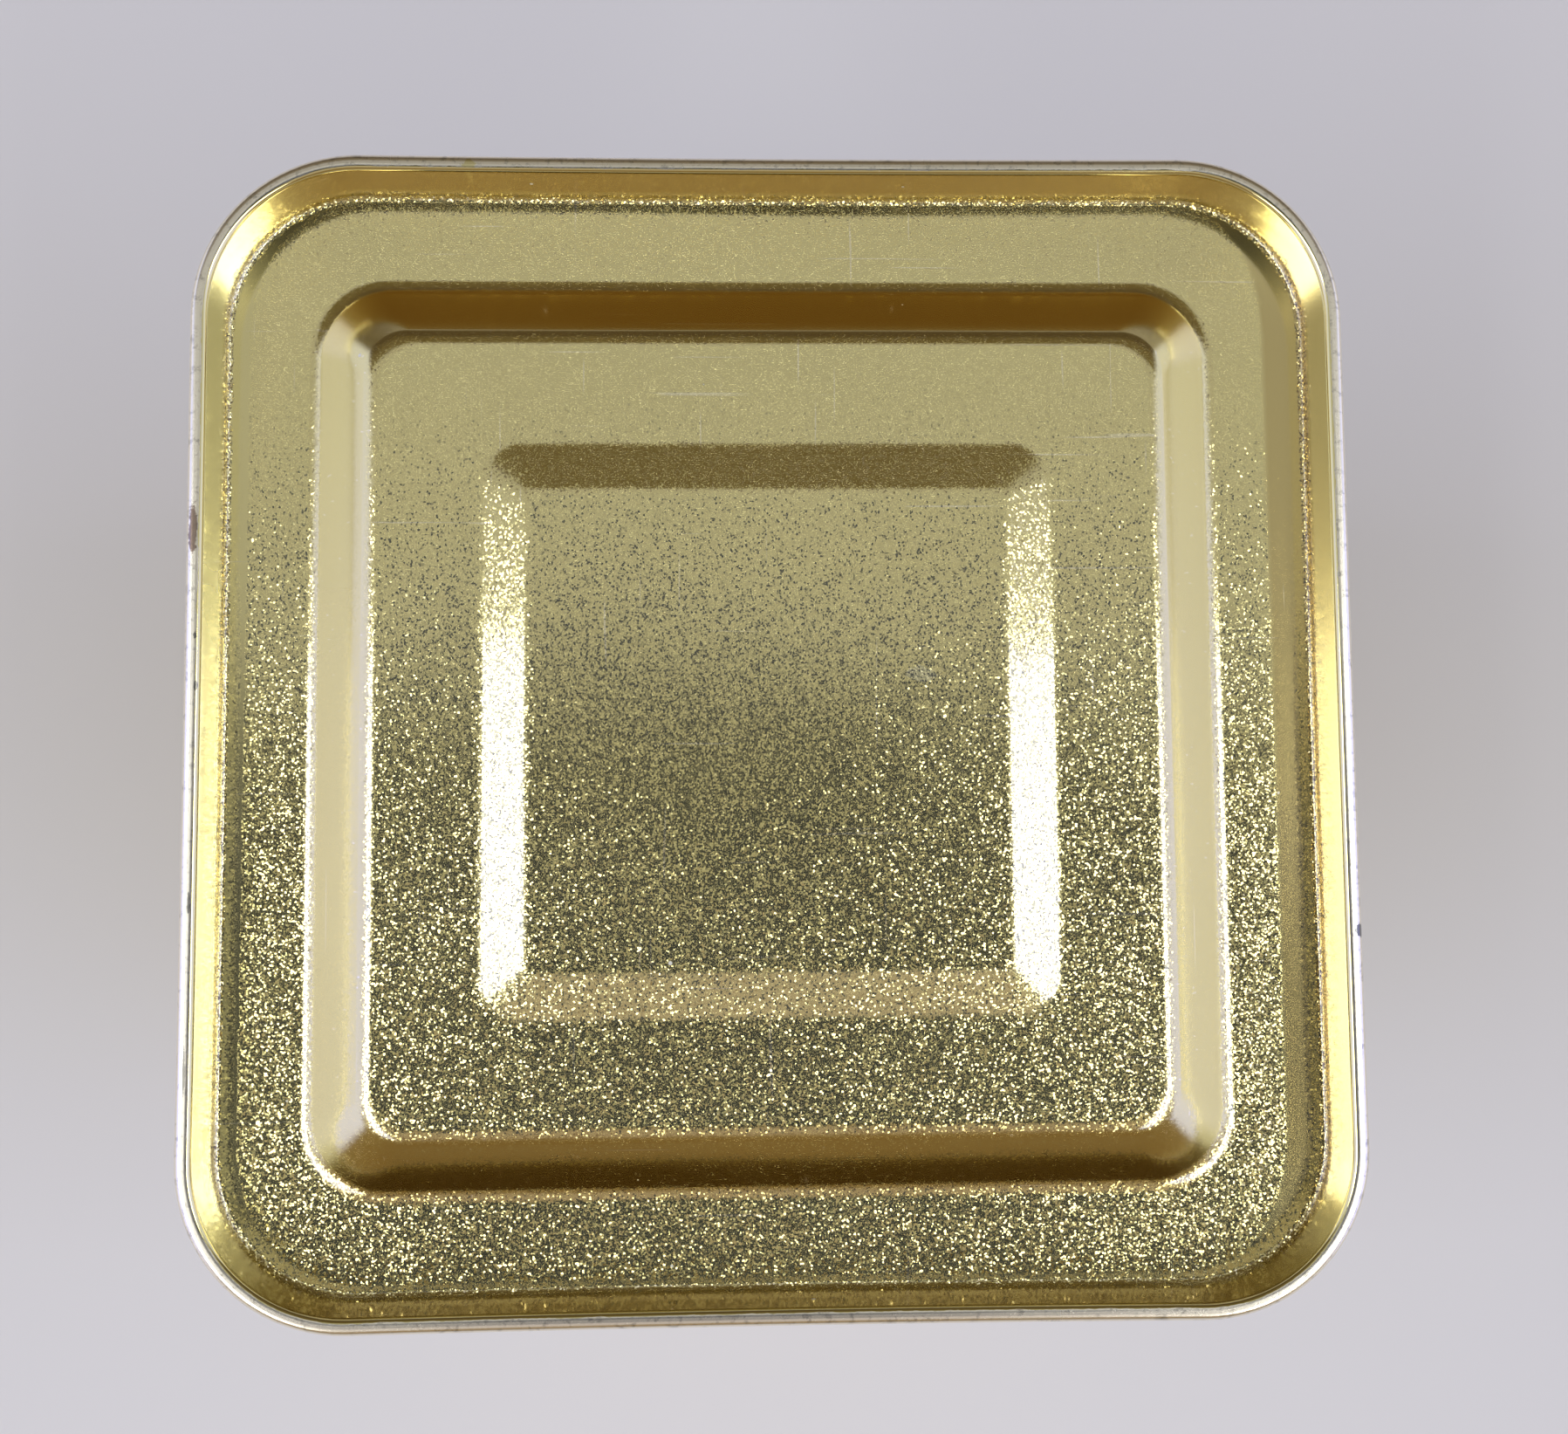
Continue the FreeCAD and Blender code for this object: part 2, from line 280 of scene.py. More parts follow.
def stations(extra=()):
    """Unit pattern of a rounded square: points are (half - corner) * centre + corner * normal.

    Along a side the centre slides from one corner's centre to the next and the normal
    stays; round a corner the centre stays and the normal turns a quarter. extra adds
    places along each side, as shares from -1 to 1.
    """
    slide = np.linspace(-1.0, 1.0, STATIONS_SIDE, endpoint=False)
    slide = np.unique(np.concatenate([slide, np.asarray(extra, float)]))
    turn = np.linspace(0.0, math.pi / 2, STATIONS_CORNER, endpoint=False)
    centre = np.concatenate([
        np.stack([slide, -np.ones_like(slide)], 1),
        np.stack([np.ones_like(turn), -np.ones_like(turn)], 1),
    ])
    normal = np.concatenate([
        np.stack([np.zeros_like(slide), -np.ones_like(slide)], 1),
        np.stack([np.sin(turn), -np.cos(turn)], 1),
    ])
    quarter = np.array([[0.0, 1.0], [-1.0, 0.0]])
    centres = []
    normals = []
    for _ in range(4):
        centres.append(centre)
        normals.append(normal)
        centre = centre @ quarter
        normal = normal @ quarter
    return np.concatenate(centres), np.concatenate(normals)


def filleted_path(points, radii, arc_points=9, spacing=0.9):
    """A polyline with its corners rounded by arcs, as points along the path.

    Each corner is replaced by an arc of its radius that touches both runs; the runs
    between arcs get points close to the arcs and then about one spacing apart.
    """
    points = np.asarray(points, float)
    path = []
    last = points[0]
    for index in range(1, len(points)):
        here = points[index]
        if index == len(points) - 1 or radii[index] == 0.0:
            entry = here
            leave = here
            arc = points[:0]
        else:
            before = here - points[index - 1]
            after = points[index + 1] - here
            before /= np.linalg.norm(before)
            after /= np.linalg.norm(after)
            turn = math.acos(np.clip(before @ after, -1.0, 1.0))
            reach = radii[index] * math.tan(turn / 2)
            entry = here - before * reach
            leave = here + after * reach
            side = np.sign(before[0] * after[1] - before[1] * after[0])
            across = side * np.array([-before[1], before[0]])
            middle = entry + across * radii[index]
            sweep = np.linspace(0.0, turn, arc_points)[:, None]
            arc = middle - radii[index] * (np.cos(sweep) * across - np.sin(sweep) * before)
        length = np.linalg.norm(entry - last)
        near = min(0.06, length / 4)
        count = max(2, int(round(length / spacing)) + 1)
        inner = np.linspace(near, length - near, count)
        along = np.concatenate([[0.0], inner]) / max(length, 1e-9)
        path.append(last + along[:, None] * (entry - last))
        path.append(arc[:-1])
        last = leave
    path.append(last[None, :])
    return np.concatenate(path)


def closed_skin(name, pattern, half, corner, height, shape):
    """A closed surface: a profile carried round a rounded square, with a point at each pole.

    pattern is the stations' centres and normals. half, corner and height are arrays
    along the profile, from one pole to the other. shape moves the whole grid of points,
    as (rings, stations, 3), before the mesh is made. Lengths are in millimetres and the
    mesh is in metres.
    """
    centres, normals = pattern
    inner = np.maximum(half - corner, 0.0)
    plan = inner[:, None, None] * centres + np.minimum(half, corner)[:, None, None] * normals
    grid = np.concatenate([plan, np.broadcast_to(height[:, None, None], plan[..., :1].shape)], 2)
    grid = shape(grid)
    rings, around = grid.shape[:2]
    poles = np.array([grid[0].mean(0), grid[-1].mean(0)])
    points = np.concatenate([grid.reshape(-1, 3), poles])
    ring = np.arange(rings - 1)[:, None] * around
    step = np.arange(around)[None, :]
    following = (step + 1) % around
    quads = np.stack([
        ring + step, ring + following, ring + around + following, ring + around + step,
    ], -1).reshape(-1, 4)
    first_pole = rings * around
    station = np.arange(around)
    after = (station + 1) % around
    last = (rings - 1) * around
    caps = np.concatenate([
        np.stack([np.full(around, first_pole), after, station], 1),
        np.stack([np.full(around, first_pole + 1), last + station, last + after], 1),
    ])
    mesh = bpy.data.meshes.new(name)
    mesh.from_pydata((points * MM).tolist(), [], quads.tolist() + caps.tolist())
    mesh.polygons.foreach_set("use_smooth", np.ones(len(mesh.polygons), bool))
    mesh.update()
    return mesh, grid


def mark_points(mesh, name, values, first_pole=0.0, last_pole=0.0):
    """A number at each point of the grid and at its two poles, for the material to read."""
    layer = mesh.attributes.new(name, "FLOAT", "POINT")
    layer.data.foreach_set("value", np.append(values, [first_pole, last_pole]).astype(np.float32))


def ramp(value, zero, one):
    """A straight rise from 0 where the value is zero to 1 where it is one, flat beyond."""
    return np.clip((value - zero) / (one - zero), 0.0, 1.0)


def side_middle(x, y, normals, straight):
    """How near a point is to the middle of its side: a parabola from 1 there to 0.

    It reaches 0 where the corner starts; straight is half the side's straight length.
    """
    normal_x, normal_y = normals.T
    along_side = np.where(np.abs(normal_y) > np.abs(normal_x), x, y) / straight
    return np.clip(1.0 - along_side ** 2, 0.0, 1.0)


END_PATTERN = stations()

# The profile runs from the middle of the panel outwards, over the seam's crown, down
# its outside and back under it. Heights are below the crown.
ring_level = -RECESS_DEEP
shelf_level = ring_level + STEP_RISE
dais_level = shelf_level + DAIS_RISE
wall_top = SEAM_HALF - SEAM_THICK
wall_foot = wall_top - RECESS_LEAN
end_corners = [
    (POLE_HALF, dais_level), (DAIS_TOP_HALF, dais_level), (DAIS_FOOT_HALF, shelf_level),
    (STEP_TOP_HALF, shelf_level), (STEP_FOOT_HALF, ring_level),
    *[(wall_foot - away, ring_level) for away in BAND_RINGS], (wall_foot, ring_level),
    (wall_top, 0.0), (SEAM_HALF - 0.05, -0.03), (SEAM_HALF, -1.5),
    (SEAM_HALF - 0.08, -SEAM_DEEP), (PLUG_HALF, -SEAM_DEEP), (PLUG_HALF, PLUG_FOOT),
    (POLE_HALF, PLUG_FOOT),
]
end_radii = [
    0, DAIS_BEND, DAIS_BEND, STEP_TOP_BEND, STEP_FOOT_BEND, *[0] * len(BAND_RINGS), RECESS_BEND,
    SEAM_INNER_ROUND, SEAM_TOP_ROUND, SEAM_SIDE_ROUND, SEAM_LIP_ROUND, 0, 0, 0,
]
end_path = filleted_path(end_corners, end_radii)
end_half, end_height = end_path[:, 0], end_path[:, 1]
end_corner = np.interp(
    end_half,
    [0.0, DAIS_TOP_HALF, DAIS_FOOT_HALF, STEP_TOP_HALF, STEP_FOOT_HALF, wall_foot, SEAM_HALF],
    [0.0, DAIS_TOP_CORNER, DAIS_FOOT_CORNER, STEP_TOP_CORNER, STEP_FOOT_CORNER,
     SEAM_CORNER - SEAM_THICK - RECESS_LEAN, SEAM_CORNER],
)
inside = np.arange(len(end_half)) < np.argmax(end_half)

# The rolled rim isn't quite true: its sides are drawn in a little between the
# corners, and the panel sits a touch to one side of it.
SIDE_BOW = {"front": 0.16, "back": 0.12, "left": 0.04, "right": 0.02}
PANEL_ASIDE = -0.42
WAVE_FADE = 3.0

# Beside the rim's wall the seaming chuck pressed a band of the ring smooth. The band
# falls a little to the wall's foot, and is wider on one side than another.
CHUCK_BAND = {"front": 0.75, "back": 0.20, "left": 1.60, "right": 2.75}
CHUCK_SLOPE = 0.015
turned_x, turned_y = END_PATTERN[1].T
band = (
    CHUCK_BAND["front"] * np.maximum(-turned_y, 0.0) ** 2
    + CHUCK_BAND["back"] * np.maximum(turned_y, 0.0) ** 2
    + CHUCK_BAND["left"] * np.maximum(-turned_x, 0.0) ** 2
    + CHUCK_BAND["right"] * np.maximum(turned_x, 0.0) ** 2
)
from_foot = np.broadcast_to((wall_foot - end_half)[:, None], (len(end_half), len(band)))
from_foot = np.where(inside[:, None], from_foot, -9.0)
from_band = from_foot - band[None, :]


def settle_end(grid):
    """Draws the rim's sides in, shifts the panel, and bends the flats and the band.

    The flats get a slow wave a few hundredths high, which fades out near the wall, and
    the chuck's band falls at its slope from its inner edge to the wall's foot.
    """
    x, y, z = grid[..., 0], grid[..., 1], grid[..., 2]
    half = np.broadcast_to(end_half[:, None], x.shape)
    rim = ramp(half, STEP_FOOT_HALF, wall_foot)
    hollow = side_middle(x, y, END_PATTERN[1], SEAM_HALF - SEAM_CORNER)
    pull = (
        SIDE_BOW["front"] * (turned_y < -0.9) + SIDE_BOW["back"] * (turned_y > 0.9)
        + SIDE_BOW["left"] * (turned_x < -0.9) + SIDE_BOW["right"] * (turned_x > 0.9)
    )
    draw_in = rim * hollow * pull
    new_x = x - draw_in * turned_x + PANEL_ASIDE * (1.0 - rim)
    new_y = y - draw_in * turned_y
    wave = 0.020 * np.sin(x / 5.3 + 0.7) * np.cos(y / 6.1 - 0.4)
    wave = wave + 0.014 * np.sin((x + 1.7 * y) / 9.0)
    wave = wave * ramp(half, wall_foot, wall_foot - WAVE_FADE)
    fall = CHUCK_SLOPE * np.clip(-from_band, 0.0, band[None, :]) * ramp(half, wall_top, wall_foot)
    new_z = z + (wave - fall) * inside[:, None]
    return np.stack([new_x, new_y, new_z + TOP / MM], -1)


end_mesh, _ = closed_skin(
    "stamped_base", END_PATTERN, end_half, end_corner, end_height, settle_end
)
base_end = add_object("stamped_base", end_mesh)

# What the material reads at each point. "grain" is where the plate keeps its stone
# grain: on the flats, not on the steep walls. "crown" is where the rim is rubbed bare.
# Two marks are painted light. One is painted shade that turns the rim's front and back
# walls and the step's walls deep brown, with a painted reflection of the wall as a brown
# band beside the right-hand wall. The other is a painted highlight that turns the rim's
# left and right walls pale. "from_foot" and "from_band" are distances in from the
# wall's foot and from the chuck's band.
slope = np.abs(np.gradient(end_height)) / np.maximum(
    np.hypot(np.gradient(end_half), np.gradient(end_height)), 1e-6
)
on_flat = np.where(inside, ramp(slope, 0.52, 0.32), 0.25)
grain_by_ring = np.where(end_half > wall_foot + 0.05, 0.05, 0.10 + 0.90 * on_flat)
crown_by_ring = ramp(end_half, wall_top + 0.12, wall_top + 0.37) * ramp(end_height, -1.1, -0.4)
on_wall = inside & (end_half > wall_foot + 0.1) & (end_height < -0.3)
on_step = inside & (end_half > STEP_TOP_HALF - 0.5) & (end_half < STEP_FOOT_HALF + 0.5)
in_band = ramp(from_band, 0.1, -0.2) * (from_foot > -0.2)
# Painted shade on the step's walls: deepest at the front, less at the back, faint at the sides.
painted_step_shade = 0.55 * np.maximum(-turned_y, 0.0) ** 3 + 0.30 * np.maximum(turned_y, 0.0) ** 3
painted_step_shade = painted_step_shade + 0.10 * np.abs(turned_x) ** 3
# Painted shade on the rim's front and back walls.
painted_shade = on_wall[:, None] * np.abs(turned_y) ** 3 + on_step[:, None] * painted_step_shade
# A painted reflection of the wall, with its shade, as a brown band on the ring beside the
# right-hand wall.
painted_shade = np.maximum(painted_shade, 0.65 * in_band * np.maximum(turned_x, 0.0) ** 2)
mark_points(end_mesh, "grain", np.repeat(grain_by_ring, len(band)), first_pole=1.0)
mark_points(end_mesh, "crown", np.repeat(crown_by_ring, len(band)))
mark_points(end_mesh, "painted_shade", painted_shade)
# Painted highlight: the rim's left and right walls turn pale gold.
mark_points(end_mesh, "painted_highlight", on_wall[:, None] * np.abs(turned_x) ** 2)
mark_points(end_mesh, "from_foot", from_foot, first_pole=40.0, last_pole=-9.0)
mark_points(end_mesh, "from_band", from_band, first_pole=40.0, last_pole=-9.0)


def new_group(name, inputs, outputs):
    """An empty node group; inputs are (name, kind, start value), outputs (name, kind)."""
    group = bpy.data.node_groups.new(name, "ShaderNodeTree")
    for label, kind, start in inputs:
        item = group.interface.new_socket(label, in_out="INPUT", socket_type=kind)
        if start is not None:
            item.default_value = start
    for label, kind in outputs:
        group.interface.new_socket(label, in_out="OUTPUT", socket_type=kind)
    entry = group.nodes.new("NodeGroupInput")
    leave = group.nodes.new("NodeGroupOutput")
    return group, entry, leave


def noise(tree, vector, scale, detail=2.0, roughness=0.5):
    """A Noise texture's value on the given coordinates."""
    node = tree.nodes.new("ShaderNodeTexNoise")
    node.inputs["Scale"].default_value = scale
    node.inputs["Detail"].default_value = detail
    node.inputs["Roughness"].default_value = roughness
    tree.links.new(vector, node.inputs["Vector"])
    return node.outputs["Fac"]


def vector_node(tree, operation, first, second=None):
    """A Vector Math node; each input is a socket or three numbers."""
    node = tree.nodes.new("ShaderNodeVectorMath")
    node.operation = operation
    for index, value in enumerate((first, second)):
        if value is None:
            continue
        if hasattr(value, "is_output"):
            tree.links.new(value, node.inputs[index])
        else:
            node.inputs[index].default_value = value
    return node.outputs["Value" if operation in ("DOT_PRODUCT", "LENGTH") else "Vector"]


GRAIN_CELL = 0.12 * MM
GRAIN_TILT = 2.1


def stone_grain_group():
    """The skin of stone-finish tinplate: dense facets, each tilted its own way.

    Each Voronoi cell, 0.12 mm wide, is a small plane through its middle. Its tilt comes
    from the cell's random colour, cubed, so that most facets lie nearly level and a
    few lean a lot. Height is in cell widths.
    """
    group, entry, leave = new_group(
        "stone_grain",
        [("Vector", "NodeSocketVector", None), ("Amount", "NodeSocketFloat", 1.0)],
        [("Height", "NodeSocketFloat")],
    )
    vector = entry.outputs["Vector"]
    cells = group.nodes.new("ShaderNodeTexVoronoi")
    cells.inputs["Scale"].default_value = 1.0 / GRAIN_CELL
    group.links.new(vector, cells.inputs["Vector"])
    centred = vector_node(group, "SUBTRACT", cells.outputs["Color"], (0.5, 0.5, 0.5))
    squared = vector_node(group, "MULTIPLY", centred, centred)
    tilt = vector_node(group, "MULTIPLY", centred, squared)
    offset = vector_node(group, "SUBTRACT", vector, cells.outputs["Position"])
    rise = vector_node(group, "DOT_PRODUCT", offset, tilt)
    both = math_node(group, "MULTIPLY", rise, GRAIN_TILT / GRAIN_CELL)
    height = math_node(group, "MULTIPLY", both, entry.outputs["Amount"])
    group.links.new(height, leave.inputs["Height"])
    return group


def stretched(tree, vector, scale, turn):
    """The coordinates turned about Z and scaled unevenly, for marks with a direction."""
    node = tree.nodes.new("ShaderNodeMapping")
    node.inputs["Rotation"].default_value = (0.0, 0.0, turn)
    node.inputs["Scale"].default_value = scale
    tree.links.new(vector, node.inputs["Vector"])
    return node.outputs["Vector"]


def handling_group():
    """Marks of handling: hair scratches two ways, pin-point dust, and a thin haze.

    Scratches are the highest ridges of a noise stretched to forty times its width.
    Dust is the middles of some Voronoi cells. Haze is a broad, cloudy noise.
    """
    group, entry, leave = new_group(
        "handling_marks",
        [("Vector", "NodeSocketVector", None)],
        [("Scratch", "NodeSocketFloat"), ("Dust", "NodeSocketFloat"), ("Haze", "NodeSocketFloat")],
    )
    vector = entry.outputs["Vector"]
    marks = []
    for turn, scale in ((0.35, (70.0, 3300.0, 3300.0)), (1.9, (3000.0, 85.0, 3000.0))):
        drawn = noise(group, stretched(group, vector, scale, turn), 1.0, 1.0, 0.4)
        marks.append(soft_step(group, drawn, 0.735, 0.775))
    scratch = math_node(group, "MAXIMUM", *marks)
    cells = group.nodes.new("ShaderNodeTexVoronoi")
    cells.inputs["Scale"].default_value = 420.0
    group.links.new(vector, cells.inputs["Vector"])
    chance = group.nodes.new("ShaderNodeSeparateColor")
    group.links.new(cells.outputs["Color"], chance.inputs["Color"])
    near = soft_step(group, cells.outputs["Distance"], 0.075, 0.035)
    chosen = soft_step(group, chance.outputs["Red"], 0.90, 0.91)
    dust = math_node(group, "MULTIPLY", near, chosen)
    haze = soft_step(group, noise(group, vector, 38.0, 3.0, 0.6), 0.40, 0.75)
    group.links.new(scratch, leave.inputs["Scratch"])
    group.links.new(dust, leave.inputs["Dust"])
    group.links.new(haze, leave.inputs["Haze"])
    return group


def place_group(tree, group, **values):
    """A node that uses the group, with its inputs linked or set."""
    node = tree.nodes.new("ShaderNodeGroup")
    node.node_tree = group
    for label, value in values.items():
        target = socket(node, label.replace("_", " "))
        if hasattr(value, "is_output"):
            tree.links.new(value, target)
        else:
            target.default_value = value
    return node


def spot_group():
    """One mark with a ragged edge: 1 within Radius of Centre and 0 beyond, torn by noise.

    Stretch pulls the mark out along Y. Lengths are in metres.
    """
    group, entry, leave = new_group(
        "ragged_spot",
        [("Vector", "NodeSocketVector", None), ("Centre", "NodeSocketVector", None),
         ("Radius", "NodeSocketFloat", 0.001), ("Stretch", "NodeSocketFloat", 1.0)],
        [("Mask", "NodeSocketFloat")],
    )
    away = vector_node(group, "SUBTRACT", entry.outputs["Vector"], entry.outputs["Centre"])
    split = group.nodes.new("ShaderNodeSeparateXYZ")
    group.links.new(away, split.inputs[0])
    join = group.nodes.new("ShaderNodeCombineXYZ")
    group.links.new(split.outputs["X"], join.inputs["X"])
    shorter = math_node(group, "DIVIDE", split.outputs["Y"], entry.outputs["Stretch"])
    group.links.new(shorter, join.inputs["Y"])
    distance = vector_node(group, "LENGTH", join.outputs[0])
    share = math_node(group, "DIVIDE", distance, entry.outputs["Radius"])
    torn = noise(group, entry.outputs["Vector"], 1800.0, 3.0, 0.7)
    share = math_node(group, "ADD", share, math_node(group, "MULTIPLY_ADD", torn, 1.6, -0.8))
    group.links.new(soft_step(group, share, 1.0, 0.72), leave.inputs["Mask"])
    return group


STONE_GRAIN = stone_grain_group()
HANDLING = handling_group()
SPOT = spot_group()


def point_mark(tree, name):
    """The number that the mesh carries at each point under this name."""
    node = tree.nodes.new("ShaderNodeAttribute")
    node.attribute_name = name
    return node.outputs["Fac"]


# The deep gold of painted shade, the pale gold of painted highlight, dust, and how much
# of each mark shows. Wear and its dull patches set in over these two spans of their
# noises. The roughnesses are added to the lacquer's own, and the depths are in cell widths.
PAINTED_SHADE_GOLD = (0.53, 0.37, 0.095)
# A pale gold of painted highlight for the walls that face the softboxes.
PAINTED_HIGHLIGHT_GOLD = (0.93, 0.89, 0.62)
DUST_COLOUR = (0.80, 0.79, 0.76)
DUST_SHARE = 0.75
SCRATCH_SHARE = 0.35
DULL_SHADE = 0.62
WORN_EDGE = (0.40, 0.60)
DULL_EDGE = (0.50, 0.72)
WORN_ROUGHNESS = 0.14
THIN_ROUGHNESS = 0.14
HAZE_ROUGHNESS = 0.035
DUST_ROUGHNESS = 0.5
SCRATCH_DEEP = 0.010
WORN_DEEP = 0.05
COAT_ROUGHNESS = 0.08
COAT_IOR = 1.8


def lacquered_tin(name, lacquer, bare, grain, rough, spots=()):
    """Gold lacquer over tinplate, worn off where the mesh's crown mark says.

    lacquer and bare are the colours of the two. Where the mesh's painted shade mark says
    so, the lacquer turns to a deep gold of painted shade. Where its painted highlight mark
    says so, it turns to a pale gold of painted highlight, and that mark also adds roughness.
    grain is a function that gives the grain's amount, and rough is the lacquer's roughness.
    spots are marks in one place each: centre, radius and stretch in millimetres, colour
    and strength.
    """
    material = bpy.data.materials.new(name)
    material.use_nodes = True
    tree = material.node_tree
    shader = tree.nodes["Principled BSDF"]
    place = tree.nodes.new("ShaderNodeTexCoord").outputs["Object"]
    stone = place_group(tree, STONE_GRAIN, Vector=place, Amount=grain(tree, place))
    marks = place_group(tree, HANDLING, Vector=place)
    patchy = noise(tree, place, 700.0, 4.0, 0.65)
    edge = math_node(tree, "MULTIPLY_ADD", patchy, 1.3, -0.65)
    edge = math_node(tree, "ADD", point_mark(tree, "crown"), edge)
    worn = soft_step(tree, edge, *WORN_EDGE)
    tone = noise(tree, place, 60.0, 3.0, 0.6)
    colour = colour_mix(tree, tone, [c * 0.96 for c in lacquer], [c * 1.04 for c in lacquer])
    painted_highlight = point_mark(tree, "painted_highlight")
    # Painted shade turns the lacquer deep brown-gold, and the painted highlight turns it pale.
    colour = colour_mix(tree, point_mark(tree, "painted_shade"), colour, PAINTED_SHADE_GOLD)
    colour = colour_mix(tree, painted_highlight, colour, PAINTED_HIGHLIGHT_GOLD)
    dull = math_node(tree, "MULTIPLY", noise(tree, place, 1400.0, 3.0, 0.7), worn)
    dull = soft_step(tree, dull, *DULL_EDGE)
    metal = colour_mix(tree, dull, bare, [c * DULL_SHADE for c in bare])
    colour = colour_mix(tree, worn, colour, metal)
    scratch = math_node(tree, "MULTIPLY", marks.outputs["Scratch"], SCRATCH_SHARE)
    colour = colour_mix(tree, scratch, colour, bare)
    dust = math_node(tree, "MULTIPLY", marks.outputs["Dust"], DUST_SHARE)
    colour = colour_mix(tree, dust, colour, DUST_COLOUR)
    for centre, radius, stretch, paint, strength in spots:
        middle = [c * MM for c in centre]
        mark = place_group(
            tree, SPOT, Vector=place, Centre=middle, Radius=radius * MM, Stretch=stretch
        )
        share = math_node(tree, "MULTIPLY", mark.outputs["Mask"], strength)
        colour = colour_mix(tree, share, colour, paint)
    tree.links.new(colour, shader.inputs["Base Color"])
    roughness = math_node(tree, "MULTIPLY_ADD", worn, WORN_ROUGHNESS, rough)
    roughness = math_node(tree, "MULTIPLY_ADD", painted_highlight, THIN_ROUGHNESS, roughness)
    roughness = math_node(tree, "MULTIPLY_ADD", marks.outputs["Haze"], HAZE_ROUGHNESS, roughness)
    roughness = math_node(tree, "MULTIPLY_ADD", dust, DUST_ROUGHNESS, roughness)
    tree.links.new(roughness, shader.inputs["Roughness"])
    metallic = math_node(tree, "SUBTRACT", 1.0, dust)
    tree.links.new(metallic, shader.inputs["Metallic"])
    scratched = marks.outputs["Scratch"]
    rise = math_node(tree, "MULTIPLY_ADD", scratched, -SCRATCH_DEEP, stone.outputs["Height"])
    pitted = math_node(tree, "MULTIPLY", patchy, worn)
    rise = math_node(tree, "MULTIPLY_ADD", pitted, WORN_DEEP, rise)
    bump = tree.nodes.new("ShaderNodeBump")
    bump.inputs["Strength"].default_value = 1.0
    bump.inputs["Distance"].default_value = GRAIN_CELL
    tree.links.new(rise, bump.inputs["Height"])
    tree.links.new(bump.outputs["Normal"], shader.inputs["Normal"])
    shader.inputs["Coat Weight"].default_value = 1.0
    shader.inputs["Coat Roughness"].default_value = COAT_ROUGHNESS
    shader.inputs["Coat IOR"].default_value = COAT_IOR
    return material


def end_grain(tree, place):
    """Grain on the flats, none on the chuck's band, and crumpled along the wall's foot."""
    ragged = math_node(tree, "MULTIPLY_ADD", noise(tree, place, 1500.0, 2.0, 0.6), 0.5, -0.25)
    beyond = math_node(tree, "ADD", point_mark(tree, "from_band"), ragged)
    kept = soft_step(tree, beyond, -0.06, 0.06, 0.04, 1.0)
    split = tree.nodes.new("ShaderNodeSeparateXYZ")
    tree.links.new(place, split.inputs[0])
    bolder = soft_step(tree, split.outputs["Y"], 0.036, -0.022, 0.20, 1.0)
    beside_wall = soft_step(tree, point_mark(tree, "from_foot"), 1.5, 1.0, 0.0, 0.45)
    kept = math_node(tree, "MAXIMUM", kept, math_node(tree, "MULTIPLY", beside_wall, bolder))
    amount = math_node(tree, "MULTIPLY", point_mark(tree, "grain"), kept)
    amount = math_node(tree, "MULTIPLY", amount, bolder)
    less_ragged = math_node(tree, "MULTIPLY", ragged, 0.7)
    from_foot = math_node(tree, "ADD", point_mark(tree, "from_foot"), less_ragged)
    from_middle = math_node(tree, "ABSOLUTE", math_node(tree, "SUBTRACT", from_foot, 0.16))
    crumple = soft_step(tree, from_middle, 0.26, 0.14, 0.0, 2.0)
    return math_node(tree, "ADD", amount, crumple)


GOLD = (0.78, 0.67, 0.28)
BARE_TIN = (0.94, 0.85, 0.66)
RUST = (0.16, 0.075, 0.035)
NICK = (0.045, 0.043, 0.04)
SMUDGE = (0.80, 0.76, 0.55)

# A rust stain and nicks on the rim's left, a nick on its right, a scab of lacquer left
# on its back, a smudge right of the middle, and two specks on the ring.
END_SPOTS = (
    ((-39.4, 13.6, 104.6), 0.34, 5.5, RUST, 0.85),
    ((-39.1, 6.4, 104.9), 0.16, 2.0, NICK, 0.8),
    ((-39.0, 3.0, 104.9), 0.13, 3.0, NICK, 0.8),
    ((-39.2, -11.5, 104.9), 0.10, 8.0, NICK, 0.7),
    ((-39.3, -22.6, 104.9), 0.10, 20.0, NICK, 0.6),
    ((39.7, -14.1, 104.7), 0.36, 1.5, NICK, 0.9),
    ((-21.0, 39.1, 104.8), 0.55, 0.9, GOLD, 0.9),
    ((10.0, 3.6, 102.4), 1.1, 0.6, SMUDGE, 0.35),
    ((22.0, -12.0, 102.0), 0.16, 2.2, NICK, 0.6),
    ((-24.5, 9.0, 102.0), 0.14, 1.4, NICK, 0.5),
)
end_mesh.materials.append(
    lacquered_tin("gold_stone_lacquer", GOLD, BARE_TIN, end_grain, 0.12, END_SPOTS)
)

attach(base_end, "root")
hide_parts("base_end")

# ==================================================================== tin body
# The body is one sheet of tinplate bent round to a square with rounded corners and
# hooked to itself in a flat lock seam down the back. It is smooth, lacquered gold, and
# its top edge is gripped by the double seam.

BODY_HALF = 39.26
BODY_CORNER = 10.66
BODY_TOP = 101.95
BODY_FOOT = 5.0
BODY_BORE = 39.05
BODY_BORE_TOP = 98.9
BODY_HOLLOW = 0.14
BODY_RIPPLE = 0.05
LOCK_MIDDLE = -23.06
LOCK_WIDE = 5.0
LOCK_PROUD = 0.30
LOCK_SHOULDER = 0.28

# The lid's mouth is this high, and the body's sides draw in above it.
LID_MOUTH = 24.0

